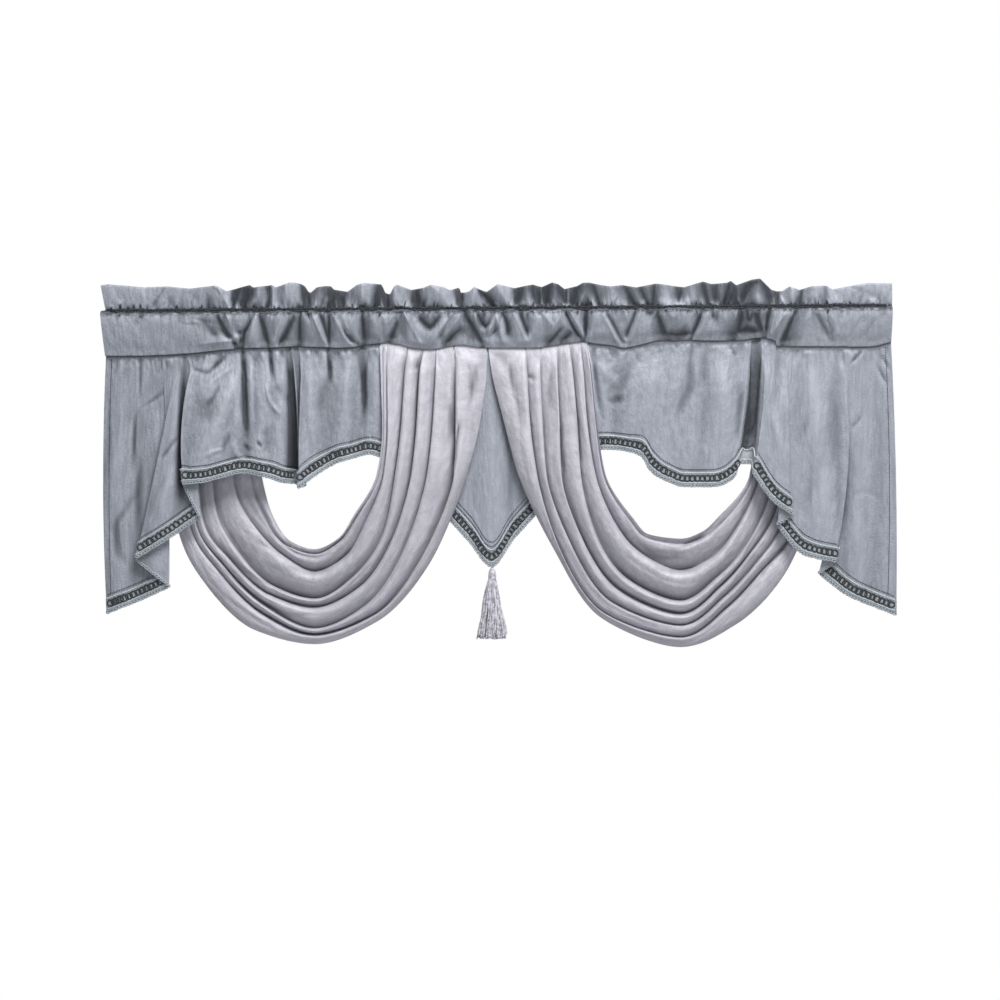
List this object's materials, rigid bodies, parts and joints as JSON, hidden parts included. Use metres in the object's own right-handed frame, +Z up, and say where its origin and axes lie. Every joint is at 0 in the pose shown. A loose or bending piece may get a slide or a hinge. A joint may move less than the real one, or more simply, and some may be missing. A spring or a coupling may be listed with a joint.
{
  "type": "window valance",
  "caption": "Gathered satin window valance with a rod pocket and ruffle, draped swags, stepped side tails and a pointed centre with a tassel.",
  "frame": {"origin": "middle of the heading's top edge, in the plane of the rod that the pocket takes", "axes": "+X along the rod to the right as seen from the room, +Y towards the window, +Z up"},
  "size_m": [1.011, 0.0448, 0.4671],
  "materials": {
    "slate_satin": "satin",
    "silver_satin": "satin",
    "woven_trim": "woven",
    "tassel_silk": "silky"
  },
  "bodies": {
    "root": {"heading": "slate_satin", "skirt_left": "slate_satin", "skirt_right": "slate_satin", "pennant": "slate_satin", "swag_left": "silver_satin", "swag_right": "silver_satin", "braid_left": "woven_trim", "braid_right": "woven_trim", "braid_centre": "woven_trim", "tassel": "tassel_silk"}
  },
  "joints": []
}
